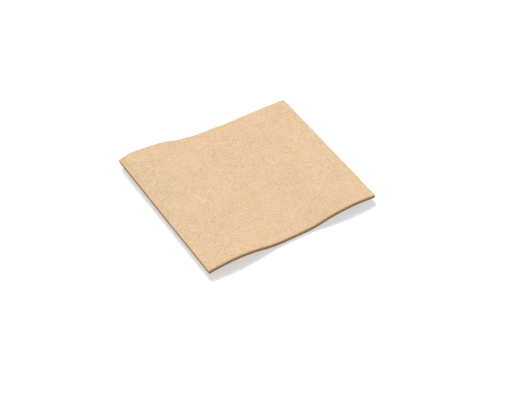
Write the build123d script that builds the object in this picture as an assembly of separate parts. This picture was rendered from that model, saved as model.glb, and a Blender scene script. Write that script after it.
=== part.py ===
from build123d import *
from math import atan, cos, degrees, pi, radians, sin
import os

# Paper napkin, a quarter fold, lying at rest. Millimetres, +Z up.
# X runs from the first fold to the open side, Y from the second fold to the open side.

# Flat sheet: the first fold halves the width, the second fold halves the depth
flat_width = 330.0
flat_depth = 300.0
sheet_thickness = 0.4

# Folds: clear gaps inside the first and second fold, and how far the pairs spring apart behind
ply_gap = 0.7
pair_gap = 0.7
pair_opening = 1.0

# Free edges: how far the folds lie off the middle of the sheet, and out of square
first_fold_offset = 0.6
second_fold_offset = 0.5
side_skew = 0.5

# Wave that the napkin keeps at rest: a crest, a foot, a flat stretch that lies down, a foot, a crest
left_edge_height = 3.8
left_crest_run = 50.0
left_slope_height = 2.9
left_foot_run = 24.0
valley_run = 18.0
right_foot_run = 16.0
right_slope_height = 1.3
right_crest_radius = 210.0

# Spare length of the swept panels, which the edge cuts take off
overrun = 4.0

# Bends of the two folds, as centreline radii
ply_pitch = sheet_thickness + ply_gap
first_fold_radius = ply_pitch / 2
inner_bend_radius = (sheet_thickness + pair_gap) / 2
outer_bend_radius = inner_bend_radius + ply_pitch
pair_bend_radius = (inner_bend_radius + outer_bend_radius) / 2
bend_height = outer_bend_radius + sheet_thickness / 2

# Panels: what is left of the flat sheet beside the bends
panel_width = (flat_width - pi * first_fold_radius) / 2
panel_depth = (flat_depth - pi * pair_bend_radius) / 2
bend_creep = pi * (outer_bend_radius - pair_bend_radius) / 2
opening_angle = degrees(atan(pair_opening / panel_depth))


def wave_path(length):
    """Underside of the napkin seen from the second fold, with the given developed length."""
    foot_turn = 2 * atan(left_slope_height / left_foot_run)
    start_turn = foot_turn + 2 * atan((left_slope_height - left_edge_height) / left_crest_run)
    start = Vector(0, 0, left_edge_height)
    slope = Vector(left_crest_run, 0, left_slope_height)
    valley = Vector(left_crest_run + left_foot_run, 0, 0)
    crest_arc = TangentArc(start, slope, tangent=Vector(cos(start_turn), 0, sin(start_turn)))
    edges = [crest_arc, TangentArc(slope, valley, tangent=crest_arc % 1)]
    rise = valley + Vector(valley_run, 0, 0)
    slope = rise + Vector(right_foot_run, 0, right_slope_height)
    edges += [Line(valley, rise), TangentArc(rise, slope, tangent=Vector(1, 0, 0))]
    turn = 2 * atan(right_slope_height / right_foot_run)
    end_turn = turn - (length - sum(edge.length for edge in edges)) / right_crest_radius
    crest = Vector(sin(turn) - sin(end_turn), 0, cos(end_turn) - cos(turn))
    edges.append(TangentArc(slope, slope + right_crest_radius * crest, tangent=edges[-1] % 1))
    return Wire([edge.edge() for edge in edges])


def across(path):
    """Plane square to the start of a path, with its own x along +Y and its own y upwards."""
    return Plane(origin=path @ 0, x_dir=Vector(0, 1, 0), z_dir=path % 0)


def bend_section(radius):
    """Section of one bend of the second fold, from the lower panel round to the upper one."""
    turn = opening_angle - 180
    outer = CenterArc((0, bend_height), radius + sheet_thickness / 2, -90, turn)
    inner = CenterArc((0, bend_height), radius - sheet_thickness / 2, -90, turn)
    return make_face([outer, Line(outer @ 1, inner @ 1), inner, Line(inner @ 0, outer @ 0)])


def panel_section(radius, upper):
    """Section of one panel, which leaves its bend level, or at the opening angle above."""
    reach = panel_depth + bend_creep + second_fold_offset + overrun
    side = 1 if upper else -1
    strip = Pos(reach / 2, side * radius) * Rectangle(reach, sheet_thickness)
    turn = opening_angle if upper else 0
    return Pos(0, bend_height) * Rot(0, 0, turn) * strip


def outline(side_x, skew, back_y, creep):
    """Upright prism with the plan of one panel: both free edges leave their fold square first."""
    low = -2 * overrun
    square = outer_bend_radius
    corner = (side_x + skew, back_y + creep)
    points = [(low, low), (side_x, low), (side_x, square), corner, (square, back_y), (low, back_y)]
    waves = 2 * left_edge_height + left_slope_height + right_slope_height
    height = 2 * waves + 2 * bend_height + pair_opening
    return Pos(0, 0, -overrun) * extrude(make_face(Polyline(*points, close=True)), height + 2 * overrun)


def first_fold_section():
    """Half ring of the first fold, square to its run, with its bulge away from the panels."""
    outer = CenterArc((0, 0), first_fold_radius + sheet_thickness / 2, 90, 180)
    inner = CenterArc((0, 0), first_fold_radius - sheet_thickness / 2, 90, 180)
    return make_face([outer, Line(outer @ 1, inner @ 1), inner, Line(inner @ 0, outer @ 0)])


def first_fold_run(place, start, end, bend=None):
    """The first fold swept along one straight of the doubled edge, or round the closed corner."""
    if bend is None:
        run = Line(place.from_local_coords(start), place.from_local_coords(end))
    else:
        run = ThreePointArc(*[place.from_local_coords(point) for point in (start, bend, end)])
    square = Plane(origin=run @ 0, x_dir=place.z_dir, z_dir=run % 0)
    return sweep(square * first_fold_section(), path=run)


def polar(angle):
    """Point of the doubled edge's bend, square to the path: the height is the second value."""
    turn = radians(angle)
    return Vector(pair_bend_radius * cos(turn), bend_height + pair_bend_radius * sin(turn), 0)


def first_fold(place, lower_back, upper_back):
    """Folded edge of both pairs, joined round the second fold at the closed corner."""
    low = polar(-90)
    high = polar(90 + opening_angle)
    open_turn = radians(opening_angle)
    upper_end = high + (upper_back + overrun) * Vector(cos(open_turn), sin(open_turn), 0)
    lower = first_fold_run(place, low + Vector(lower_back, 0, 0), low)
    corner = first_fold_run(place, low, high, polar(180))
    upper = first_fold_run(place, high, upper_end) & outline(overrun, 0, upper_back, 0)
    return lower + corner + upper


def napkin():
    """Four panels, the two bends that join them at the front, and the folded left edge."""
    path = wave_path(panel_width + overrun)
    side_x = path.position_at(panel_width, position_mode=PositionMode.LENGTH).X
    place = across(path)
    lower_back = panel_depth + second_fold_offset
    upper_back = panel_depth - second_fold_offset
    body = first_fold(place, lower_back, upper_back)
    for radius, creep, offset in (
        (outer_bend_radius, -bend_creep, -first_fold_offset),
        (inner_bend_radius, bend_creep, first_fold_offset),
    ):
        side = side_x + offset
        bend = sweep(place * bend_section(radius), path=path)
        body += bend & outline(side, 0, panel_depth, 0)
        for upper, back_y, skew in ((False, lower_back, side_skew), (True, upper_back, -side_skew)):
            panel = sweep(place * panel_section(radius, upper), path=path)
            body += panel & outline(side, skew, back_y, creep)
    return body


os.makedirs("parts", exist_ok=True)

folded = napkin()
box = folded.bounding_box()
folded = Pos(-box.center().X, -box.center().Y, -box.min.Z) * folded
export_step(folded, "parts/napkin.step")
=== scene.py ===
# Paper napkin in a quarter fold: one sheet folded twice, resting on a pale floor
from math import atan, ceil, cos, pi, radians, sin

import bpy
import numpy as np
from mathutils import Color, Matrix, Vector


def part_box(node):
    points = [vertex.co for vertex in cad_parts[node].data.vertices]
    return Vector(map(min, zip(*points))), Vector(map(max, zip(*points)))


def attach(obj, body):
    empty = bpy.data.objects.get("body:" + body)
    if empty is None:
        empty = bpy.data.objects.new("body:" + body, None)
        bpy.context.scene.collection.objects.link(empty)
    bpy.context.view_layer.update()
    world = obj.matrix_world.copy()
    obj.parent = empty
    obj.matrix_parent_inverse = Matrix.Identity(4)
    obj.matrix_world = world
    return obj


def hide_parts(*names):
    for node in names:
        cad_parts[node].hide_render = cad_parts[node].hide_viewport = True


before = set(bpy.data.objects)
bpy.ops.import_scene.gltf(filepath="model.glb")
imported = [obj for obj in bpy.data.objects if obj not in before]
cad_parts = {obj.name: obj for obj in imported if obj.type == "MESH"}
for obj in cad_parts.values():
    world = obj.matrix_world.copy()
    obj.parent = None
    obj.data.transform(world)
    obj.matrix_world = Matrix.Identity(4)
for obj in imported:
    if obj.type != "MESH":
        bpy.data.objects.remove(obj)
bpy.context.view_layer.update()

MM = 0.001

# Flat sheet, as in the CAD source
FLAT_WIDTH = 330 * MM
FLAT_DEPTH = 300 * MM
THICKNESS = 0.4 * MM

# Folds and free edges, as in the CAD source
PLY_GAP = 0.7 * MM
PAIR_GAP = 0.7 * MM
PAIR_OPENING = 1.0 * MM
FIRST_FOLD_OFFSET = 0.6 * MM
SECOND_FOLD_OFFSET = 0.5 * MM
SIDE_SKEW = 0.5 * MM

# Runs of the wave: crest, foot, flat stretch and foot as in the CAD source, then crest to the side
LEFT_CREST_RUN = 50.0 * MM
LEFT_FOOT_RUN = 24.0 * MM
VALLEY_RUN = 18.0 * MM
RIGHT_FOOT_RUN = 16.0 * MM
RIGHT_CREST_RUN = 55.3 * MM

# Heights of the wave at the front and at the back, which drift round the CAD source's own
EDGE_HEIGHTS = 3.59 * MM, 4.04 * MM
LEFT_SLOPE_HEIGHTS = 2.68 * MM, 2.96 * MM
RIGHT_SLOPE_HEIGHTS = 2.01 * MM, 0.43 * MM
SIDE_HEIGHTS = 3.55 * MM, 2.38 * MM

# Bends of the two folds, as centreline radii, and the panels beside them
PLY_PITCH = THICKNESS + PLY_GAP
FIRST_RADIUS = PLY_PITCH / 2
SECOND_RADIUS = (THICKNESS + PAIR_GAP + PLY_PITCH) / 2
BEND_HEIGHT = SECOND_RADIUS + FIRST_RADIUS + THICKNESS / 2
FIRST_HALF = pi * FIRST_RADIUS / 2
SECOND_HALF = pi * SECOND_RADIUS / 2
PANEL_WIDTH = FLAT_WIDTH / 2 - FIRST_HALF
PANEL_DEPTH = FLAT_DEPTH / 2 - SECOND_HALF
CREEP = pi * FIRST_RADIUS / 2
OPENING = atan(PAIR_OPENING / PANEL_DEPTH)

# Side edges out of square: all plies at the front, and the top ply at the back
FRONT_SIDE_SHIFT = -1.69 * MM
TOP_SIDE_SHIFT = 2.20 * MM

# Back edges out of square: at the first fold, and at the open side
LEFT_BACK_SHIFT = 2.53 * MM
RIGHT_BACK_SHIFT = -3.29 * MM

# Small wander of all free edges
EDGE_WANDER = 0.16 * MM
EDGE_WANDER_LENGTH = 13 * MM
SIDE_WANDER_SEED = 21
BACK_WANDER_SEED = 22

# Number of waves in any unevenness, and their shortest and longest pitch as shares of its length
RIPPLE_COUNT = 9
RIPPLE_PITCH_SHARES = 0.6, 1.6

# Sway of the whole napkin, which fades in with its clearance over the floor
SWAY = 0.30 * MM
SWAY_LENGTH = 75 * MM
SWAY_CLEARANCE = 1.5 * MM
SWAY_SEED = 5

# Cockles, which each ply has of its own, and the strip beside each fold where they fade in
COCKLE = 0.07 * MM
COCKLE_LENGTH = 17 * MM
COCKLE_SEED = 40
FOLD_MARGIN = 7 * MM

# Rise of the top ply toward its free edges, which is uneven along them
SIDE_LIFT = 0.3 * MM
BACK_LIFT = 0.1 * MM
LIFT_RUN = 22 * MM
UNEVEN_LIFT_SHARE = 0.25
UNEVEN_LIFT_LENGTH = 50 * MM
SIDE_LIFT_SEED = 61
BACK_LIFT_SEED = 62

# Swell of the top ply close behind the first fold, at the back
FOLD_SWELL = 1.4 * MM
FOLD_SWELL_RUN = 5.5 * MM
FOLD_SWELL_FADE = 28 * MM

# Small creases that fan out from the closed corner
PUCKER = 0.16 * MM
PUCKER_RUN = 4 * MM
PUCKER_FADE = 24 * MM
PUCKER_RAYS = 9
PUCKER_PHASE = 1.2

# Plies of the quarter fold
PLIES = 4

# Mesh of the sheet
STEP = 1.9 * MM
FINE_STEP = 0.35 * MM
STEP_GROWTH = 1.35
BEND_STEPS = 12
SHARP_ANGLE = radians(55)

# Paper colours, as sRGB levels
PAPER_DEEP = 231, 195, 154
PAPER_LIGHT = 237, 203, 163
DARK_SPECK = 190, 155, 111
LIGHT_SPECK = 255, 232, 194
FIBRE = 250, 230, 200

# Painted shade on folds and cut edges: a deeper tint multiplied onto faces that stand up, and how
# level a face is where it starts and where it is full
PAINTED_SIDE_SHADE = 0.80, 0.58, 0.38, 1.0
PAINTED_SIDE_SHADE_LEVELS = 0.92, 0.35

# Paper texture, in waves a metre, with the noise levels between which each part comes in
CLOUD_SCALE = 110
CLOUD_LEVELS = 0.30, 0.70
GRAIN_SCALE = 1000
DARK_SPECK_LEVELS = 0.48, 0.74
LIGHT_SPECK_LEVELS = 0.52, 0.26
SPECK_SHARE = 0.52

# Fibres, in waves a metre along, across and down, and the turn and scale of each layer
FIBRE_ALONG = 280
FIBRE_ACROSS = 2600
FIBRE_DOWN = 900
FIBRE_LAYERS = (0.3, 1.0), (1.2, 0.8), (2.0, 1.15), (2.7, 0.9)
FIBRE_LEVELS = 0.60, 0.72
FIBRE_SHARE = 0.35

# Finish of the paper, and its fine relief, with what grain and fibres give to it
PAPER_ROUGHNESS = 0.93
PAPER_SPECULAR = 0.12
RELIEF_DEPTH = 0.12 * MM
RELIEF_STRENGTH = 0.35
RELIEF_GRAIN = 0.6
RELIEF_FIBRES = 0.4

# Floor: its reach, how far it lies under the napkin, its grey and what it glows when seen
FLOOR_REACH = 20.0
FLOOR_DROP = 0.02 * MM
FLOOR_GREY = 0.60
FLOOR_GLOW = 0.54
WHITE = 1.0, 1.0, 1.0, 1.0

# Lamp: the direction that it shines from, and its softness
LAMP_FROM = 9.6, 57.9, 77.0
LAMP_ENERGY = 2.77
LAMP_SPREAD = radians(24)

# Surrounding: how brightly it lights the napkin, and how brightly it shows
SURROUNDING_LIGHT = 0.30
SURROUNDING_SEEN = 1.0

# Camera, round a point that is measured from the closed corner
CAMERA_TURN = radians(-32.253)
CAMERA_TILT = radians(45.147)
CAMERA_ROLL = radians(0.144)
CAMERA_DISTANCE = 1013.595 * MM
CAMERA_TARGET = 68.541 * MM, 44.7315 * MM, 0.0
CAMERA_CLIP_START = 10 * MM

# Lens and sensor, in millimetres as the camera takes them
LENS_LENGTH = 86.1264
SENSOR_WIDTH = 36.0


def smooth(value):
    """Zero below 0, one above 1, and a soft step between."""
    value = np.clip(value, 0, 1)
    return value * value * (3 - 2 * value)


def ripple(x, y, length, seed):
    """Smooth unevenness, mostly between -1 and 1, with bumps of about the given length."""
    random = np.random.default_rng(seed)
    total = np.zeros(np.broadcast(x, y).shape)
    for _ in range(RIPPLE_COUNT):
        turn = random.uniform(0, 2 * pi)
        pitch = length * random.uniform(*RIPPLE_PITCH_SHARES)
        phase = random.uniform(0, 2 * pi)
        total += np.sin(2 * pi * (x * cos(turn) + y * sin(turn)) / pitch + phase)
    return total / RIPPLE_COUNT ** 0.5


def depth_share(y):
    """How far back a place lies, from zero at the second fold to one at the back edges."""
    return np.clip(y / PANEL_DEPTH, 0, 1)


def wave(distance, y):
    """Place (x, z) and heading of the underside, at a distance from the first fold and a depth."""
    share = depth_share(y)
    edge, left, right, side = (
        front + (back - front) * share
        for front, back in (EDGE_HEIGHTS, LEFT_SLOPE_HEIGHTS, RIGHT_SLOPE_HEIGHTS, SIDE_HEIGHTS)
    )
    foot = 2 * np.arctan(left / LEFT_FOOT_RUN)
    rise = 2 * np.arctan(right / RIGHT_FOOT_RUN)
    start_turn = foot + 2 * np.arctan((left - edge) / LEFT_CREST_RUN)
    side_turn = 2 * np.arctan((side - right) / RIGHT_CREST_RUN) - rise
    level = np.zeros_like(share)
    arcs = [
        (LEFT_CREST_RUN, left - edge, start_turn, -foot),
        (LEFT_FOOT_RUN, -left, -foot, level),
        (VALLEY_RUN, level, level, level),
        (RIGHT_FOOT_RUN, right, level, rise),
        (RIGHT_CREST_RUN, side - right, rise, side_turn),
    ]
    before = np.minimum(distance, 0)
    x = before * np.cos(start_turn)
    z = edge + before * np.sin(start_turn)
    heading = start_turn
    start = 0.0
    for index, (run, climb, turn_in, turn_out) in enumerate(arcs):
        turn = turn_out - turn_in
        length = np.hypot(run, climb) / np.sinc(turn / 2 / pi)
        part = np.maximum((distance - start) / length, 0)
        # The last arc runs on past its end
        if index < len(arcs) - 1:
            part = np.minimum(part, 1)
        chord = length * part * np.sinc(turn * part / 2 / pi)
        x = x + chord * np.cos(turn_in + turn * part / 2)
        z = z + chord * np.sin(turn_in + turn * part / 2)
        heading = np.where(part > 0, turn_in + turn * part, heading)
        start = start + length
    return x, z, heading


def stations(half_bend, panel):
    """Places across one fold: fine round the bend, coarser over both panels, fine at free edges."""
    bend = np.linspace(0, half_bend, BEND_STEPS // 2 + 1)
    steps = [FINE_STEP]
    while steps[-1] * STEP_GROWTH < STEP:
        steps.append(steps[-1] * STEP_GROWTH)
    graded = np.cumsum(steps)
    middle = panel - 2 * graded[-1]
    even = np.linspace(0, middle, ceil(middle / STEP) + 1)[1:]
    side = np.concatenate([graded, graded[-1] + even, panel - graded[-2::-1], [panel]])
    half = np.concatenate([bend, half_bend + side])
    return np.concatenate([-half[:0:-1], half])


def edge_shifts(across, along, share_x, share_y):
    """How far the paper's own side and back edges lie past those of the solid."""
    side = EDGE_WANDER * ripple(along, 0, EDGE_WANDER_LENGTH, SIDE_WANDER_SEED)
    back = EDGE_WANDER * ripple(across, 0, EDGE_WANDER_LENGTH, BACK_WANDER_SEED)
    top_ply = (across > 0) & (along > 0)
    side += FRONT_SIDE_SHIFT * (1 - share_y) + TOP_SIDE_SHIFT * share_y * top_ply
    back += LEFT_BACK_SHIFT + (RIGHT_BACK_SHIFT - LEFT_BACK_SHIFT) * share_x
    return side, back


def sheet_surface(detail=True):
    """Middle surface of the folded sheet, as a grid of places over the flat sheet."""
    across, along = np.meshgrid(
        stations(FIRST_HALF, PANEL_WIDTH), stations(SECOND_HALF, PANEL_DEPTH), indexing="ij"
    )
    outer = np.sign(across)
    upper = np.sign(along)
    run_x = np.maximum(np.abs(across) - FIRST_HALF, 0)
    run_y = np.maximum(np.abs(along) - SECOND_HALF, 0)
    share_x = run_x / PANEL_WIDTH
    share_y = run_y / PANEL_DEPTH
    side_growth = -outer * FIRST_FOLD_OFFSET - upper * SIDE_SKEW * share_y
    back_growth = -upper * SECOND_FOLD_OFFSET - outer * CREEP * share_x
    if detail:
        side_shift, back_shift = edge_shifts(across, along, share_x, share_y)
        side_growth += side_shift
        back_growth += back_shift
    run_x = run_x * (1 + side_growth / PANEL_WIDTH)
    run_y = run_y * (1 + back_growth / PANEL_DEPTH)

    first_turn = np.clip(across, -FIRST_HALF, FIRST_HALF) / FIRST_RADIUS
    distance = run_x - FIRST_RADIUS * np.cos(first_turn)
    radius = SECOND_RADIUS + FIRST_RADIUS * np.sin(first_turn)

    opened = np.where(along > 0, OPENING, 0)
    second_turn = np.clip(along, -SECOND_HALF, SECOND_HALF) / SECOND_RADIUS
    second_turn = second_turn * (1 - opened / (pi / 2))
    y = run_y * np.cos(opened) - radius * np.cos(second_turn)
    height = BEND_HEIGHT + radius * np.sin(second_turn) + run_y * np.sin(opened)
    if detail:
        height = height + paper_relief(across, along, distance, y)

    x, z, heading = wave(distance, y)
    x = x - height * np.sin(heading)
    z = z + height * np.cos(heading)
    return np.stack([x, y, z], axis=-1)


def paper_relief(across, along, distance, y):
    """Small rise or fall of each place of the sheet, square to the napkin."""
    _, floor_gap, _ = wave(distance, y)
    relief = smooth(floor_gap / SWAY_CLEARANCE) * SWAY * ripple(distance, y, SWAY_LENGTH, SWAY_SEED)

    # Plies counted from the lowest, and the share of the top ply's rise that each of them takes
    ply = np.where(along > 0, np.where(across > 0, 3, 2), np.where(across > 0, 0, 1))
    spread = ply / (PLIES - 1)
    past_first = smooth((np.abs(across) - FIRST_HALF) / FOLD_MARGIN)
    past_second = smooth((np.abs(along) - SECOND_HALF) / FOLD_MARGIN)
    inside = past_first * past_second
    for index in range(PLIES):
        cockle = COCKLE * ripple(distance, y, COCKLE_LENGTH, COCKLE_SEED + index)
        relief = relief + np.where(ply == index, inside * cockle, 0)

    side = edge_lift(SIDE_LIFT, distance - PANEL_WIDTH, y, SIDE_LIFT_SEED)
    back = edge_lift(BACK_LIFT, y - PANEL_DEPTH, distance, BACK_LIFT_SEED)
    relief = relief + spread * inside * (side + back)
    relief = relief + spread * fold_swell(distance, y)
    return relief + inside * corner_pucker(distance, y)


def edge_lift(height, past_edge, along_edge, seed):
    """Uneven rise toward a free edge, by the distance past it, which is below zero on the sheet."""
    uneven = UNEVEN_LIFT_SHARE * ripple(along_edge, 0, UNEVEN_LIFT_LENGTH, seed)
    return height * smooth((past_edge + LIFT_RUN) / LIFT_RUN) * (1 - UNEVEN_LIFT_SHARE + uneven)


def fold_swell(distance, y):
    """Swell close behind the first fold, which grows toward the back."""
    rise = smooth(distance / FOLD_SWELL_RUN) * np.exp(-distance / FOLD_SWELL_FADE)
    return FOLD_SWELL * rise * depth_share(y) ** 2


def corner_pucker(distance, y):
    """Creases that fan out from the closed corner and die out along both folds."""
    reach = np.hypot(distance, y)
    angle = np.arctan2(np.maximum(y, 0), np.maximum(distance, 0))
    fade = smooth(reach / PUCKER_RUN) * np.exp(-reach / PUCKER_FADE)
    return PUCKER * fade * np.sin(PUCKER_RAYS * angle + PUCKER_PHASE) * np.sin(2 * angle)


def sheet_mesh(name, surface, offset):
    """Closed mesh of the sheet: both faces, half a thickness off the middle, and the cut edges."""
    step_u = np.gradient(surface, axis=0)
    step_v = np.gradient(surface, axis=1)
    normal = np.cross(step_u, step_v)
    normal /= np.linalg.norm(normal, axis=-1, keepdims=True)
    faces_up = surface + normal * THICKNESS / 2
    faces_down = surface - normal * THICKNESS / 2
    rows, columns = surface.shape[:2]
    points = np.concatenate([faces_up.reshape(-1, 3), faces_down.reshape(-1, 3)]) + offset
    # The floor stops whatever would dip below it
    points[:, 2] = np.maximum(points[:, 2], 0)

    up = np.arange(rows * columns).reshape(rows, columns)
    down = up + rows * columns
    quads = []

    def strip(a, b, c, d):
        """Quads of one face or cut edge, from the grids of their four corners."""
        quads.append(np.stack([a.ravel(), b.ravel(), c.ravel(), d.ravel()], axis=-1))

    strip(up[:-1, :-1], up[1:, :-1], up[1:, 1:], up[:-1, 1:])
    strip(down[:-1, :-1], down[:-1, 1:], down[1:, 1:], down[1:, :-1])
    strip(up[:-1, 0], down[:-1, 0], down[1:, 0], up[1:, 0])
    strip(up[:-1, -1], up[1:, -1], down[1:, -1], down[:-1, -1])
    strip(up[0, :-1], up[0, 1:], down[0, 1:], down[0, :-1])
    strip(up[-1, :-1], down[-1, :-1], down[-1, 1:], up[-1, 1:])
    mesh = bpy.data.meshes.new(name)
    mesh.from_pydata(points.tolist(), [], np.concatenate(quads).tolist())
    mesh.validate()
    mesh.shade_smooth()
    mesh.set_sharp_from_angle(angle=SHARP_ANGLE)
    return mesh


def linear(levels):
    """Scene colour of an sRGB colour given as levels from 0 to 255."""
    colour = Color([level / 255 for level in levels]).from_srgb_to_scene_linear()
    return (*colour, 1.0)


class Nodes:
    """Short calls for building the node tree of a material or of the world."""

    # The Mix node's sockets for colours
    COLOUR_A = 6
    COLOUR_B = 7
    COLOUR_RESULT = 2

    def __init__(self, owner):
        owner.use_nodes = True
        self.tree = owner.node_tree
        self.tree.nodes.clear()

    def add(self, kind, inputs=None, **settings):
        """One node, with its settings, and with its inputs linked or set."""
        node = self.tree.nodes.new(kind)
        for key, value in settings.items():
            setattr(node, key, value)
        for key, value in (inputs or {}).items():
            if isinstance(value, bpy.types.NodeSocket):
                self.tree.links.new(value, node.inputs[key])
            else:
                node.inputs[key].default_value = value
        return node

    def math(self, operation, a, b=0.0):
        """One operation on two values, or on the first alone."""
        return self.add("ShaderNodeMath", {0: a, 1: b}, operation=operation).outputs[0]

    def noise(self, place, scale, detail, rough):
        """Noise between 0 and 1."""
        inputs = {"Vector": place, "Scale": scale, "Detail": detail, "Roughness": rough}
        return self.add("ShaderNodeTexNoise", inputs).outputs["Fac"]

    def level(self, value, low, high, start=0.0, end=1.0):
        """A value that goes from start to end while the given one goes from low to high."""
        inputs = {"Value": value, "From Min": low, "From Max": high, "To Min": start, "To Max": end}
        return self.add("ShaderNodeMapRange", inputs).outputs["Result"]

    def mix(self, factor, a, b, blend="MIX"):
        """One colour laid over another."""
        inputs = {"Factor": factor, self.COLOUR_A: a, self.COLOUR_B: b}
        node = self.add("ShaderNodeMix", inputs, data_type="RGBA", blend_type=blend)
        return node.outputs[self.COLOUR_RESULT]

    def seen(self):
        """One for what the camera sees, also by gloss or through glass, and zero for light."""
        path = self.add("ShaderNodeLightPath").outputs
        seen = path["Is Camera Ray"]
        for ray in ("Is Glossy Ray", "Is Transmission Ray"):
            seen = self.math("MAXIMUM", seen, path[ray])
        return seen


def paper_fibres(nodes, place):
    """Short fibres in layers that each run their own way: one on a fibre, and zero beside it."""
    fibres = None
    for turn, scale in FIBRE_LAYERS:
        inputs = {
            "Vector": place,
            "Rotation": (0, 0, turn),
            "Scale": (FIBRE_ALONG * scale, FIBRE_ACROSS * scale, FIBRE_DOWN),
        }
        turned = nodes.add("ShaderNodeMapping", inputs).outputs[0]
        layer = nodes.level(nodes.noise(turned, scale=1.0, detail=1.0, rough=0.4), *FIBRE_LEVELS)
        fibres = layer if fibres is None else nodes.math("MAXIMUM", fibres, layer)
    return fibres


def paper_colour(nodes, place, grain, fibres):
    """Warm tan in soft clouds, with dark and light specks and pale fibres."""
    cloud = nodes.noise(place, CLOUD_SCALE, detail=3.0, rough=0.55)
    colour = nodes.mix(nodes.level(cloud, *CLOUD_LEVELS), linear(PAPER_DEEP), linear(PAPER_LIGHT))
    dark = nodes.level(grain, *DARK_SPECK_LEVELS, end=SPECK_SHARE)
    colour = nodes.mix(dark, colour, linear(DARK_SPECK))
    light = nodes.level(grain, *LIGHT_SPECK_LEVELS, end=SPECK_SHARE)
    colour = nodes.mix(light, colour, linear(LIGHT_SPECK))
    return nodes.mix(nodes.math("MULTIPLY", fibres, FIBRE_SHARE), colour, linear(FIBRE))


def paper_bump(nodes, grain, fibres):
    """Shading normal of the paper's fine relief."""
    relief = nodes.math(
        "ADD",
        nodes.math("MULTIPLY", grain, RELIEF_GRAIN),
        nodes.math("MULTIPLY", fibres, RELIEF_FIBRES),
    )
    inputs = {"Height": relief, "Strength": RELIEF_STRENGTH, "Distance": RELIEF_DEPTH}
    return nodes.add("ShaderNodeBump", inputs).outputs["Normal"]


def kraft_paper():
    """Unbleached tissue: a warm tan with fine speckle and short fibres, with painted shade that
    deepens folds and cut edges.
    """
    material = bpy.data.materials.new("kraft_paper")
    nodes = Nodes(material)
    where = nodes.add("ShaderNodeTexCoord").outputs
    place = where["Object"]
    facing = nodes.add("ShaderNodeSeparateXYZ", {"Vector": where["Normal"]}).outputs["Z"]
    # Painted shade: the colour is multiplied deeper where the face stands up, as on folds and cut
    # edges
    painted_shade = nodes.level(nodes.math("ABSOLUTE", facing), *PAINTED_SIDE_SHADE_LEVELS)
    grain = nodes.noise(place, GRAIN_SCALE, detail=1.0, rough=0.5)
    fibres = paper_fibres(nodes, place)
    colour = paper_colour(nodes, place, grain, fibres)
    inputs = {
        "Base Color": nodes.mix(painted_shade, colour, PAINTED_SIDE_SHADE, "MULTIPLY"),
        "Roughness": PAPER_ROUGHNESS,
        "Specular IOR Level": PAPER_SPECULAR,
        "Normal": paper_bump(nodes, grain, fibres),
    }
    shader = nodes.add("ShaderNodeBsdfPrincipled", inputs).outputs[0]
    nodes.add("ShaderNodeOutputMaterial", {"Surface": shader})
    return material


def napkin():
    """The folded sheet in place of the CAD solid, over the same footprint. Gives its closed corner."""
    plain = sheet_surface(detail=False).reshape(-1, 3)
    middle = (plain.min(axis=0) + plain.max(axis=0)) / 2
    low, high = np.array(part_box("napkin"))
    corner = (low + high) / 2 - middle
    corner[2] = 0
    mesh = sheet_mesh("folded_sheet", sheet_surface(), corner)
    mesh.materials.append(kraft_paper())
    piece = bpy.data.objects.new("folded_sheet", mesh)
    bpy.context.scene.collection.objects.link(piece)
    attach(piece, "root")
    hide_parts("napkin")
    return corner


def pale_floor():
    """Matt grey that glows when seen, so that it shows as white and keeps the napkin's shadow."""
    material = bpy.data.materials.new("pale_floor")
    nodes = Nodes(material)
    grey = FLOOR_GREY, FLOOR_GREY, FLOOR_GREY, 1.0
    matt = nodes.add("ShaderNodeBsdfDiffuse", {"Color": grey}).outputs[0]
    strength = nodes.math("MULTIPLY", nodes.seen(), FLOOR_GLOW)
    glow = nodes.add("ShaderNodeEmission", {"Color": WHITE, "Strength": strength}).outputs[0]
    both = nodes.add("ShaderNodeAddShader", {0: matt, 1: glow}).outputs[0]
    nodes.add("ShaderNodeOutputMaterial", {"Surface": both})
    return material


def floor():
    """Plain pale floor, just under the napkin."""
    mesh = bpy.data.meshes.new("floor")
    corners = [(x * FLOOR_REACH, y * FLOOR_REACH, 0) for x, y in ((-1, -1), (1, -1), (1, 1), (-1, 1))]
    mesh.from_pydata(corners, [], [(0, 1, 2, 3)])
    mesh.materials.append(pale_floor())
    plane = bpy.data.objects.new("floor", mesh)
    plane.location.z = -FLOOR_DROP
    bpy.context.scene.collection.objects.link(plane)


def lamp():
    """Soft light from behind and above."""
    sun = bpy.data.lights.new("key", "SUN")
    sun.energy = LAMP_ENERGY
    sun.angle = LAMP_SPREAD
    key = bpy.data.objects.new("key", sun)
    key.rotation_euler = Vector(LAMP_FROM).to_track_quat("Z", "Y").to_euler()
    bpy.context.scene.collection.objects.link(key)


def surrounding():
    """Even pale light from all round, which shows as white."""
    world = bpy.data.worlds.new("surrounding")
    nodes = Nodes(world)
    strength = nodes.level(nodes.seen(), 0.0, 1.0, start=SURROUNDING_LIGHT, end=SURROUNDING_SEEN)
    background = nodes.add("ShaderNodeBackground", {"Color": WHITE, "Strength": strength}).outputs[0]
    nodes.add("ShaderNodeOutputWorld", {"Surface": background})
    bpy.context.scene.world = world


def camera(corner):
    """The photograph's view, round a point of the napkin."""
    data = bpy.data.cameras.new("camera")
    data.sensor_width = SENSOR_WIDTH
    data.lens = LENS_LENGTH
    data.clip_start = CAMERA_CLIP_START
    turned = Matrix.Rotation(CAMERA_TURN, 4, "Z") @ Matrix.Rotation(pi / 2 - CAMERA_TILT, 4, "X")
    rolled = turned @ Matrix.Rotation(CAMERA_ROLL, 4, "Z")
    target = Matrix.Translation(Vector(CAMERA_TARGET) + Vector(corner))
    view = bpy.data.objects.new("camera", data)
    view.matrix_world = target @ rolled @ Matrix.Translation((0, 0, CAMERA_DISTANCE))
    bpy.context.scene.collection.objects.link(view)
    bpy.context.scene.camera = view


closed_corner = napkin()
floor()
lamp()
surrounding()
camera(closed_corner)
bpy.context.scene.view_settings.view_transform = "Standard"
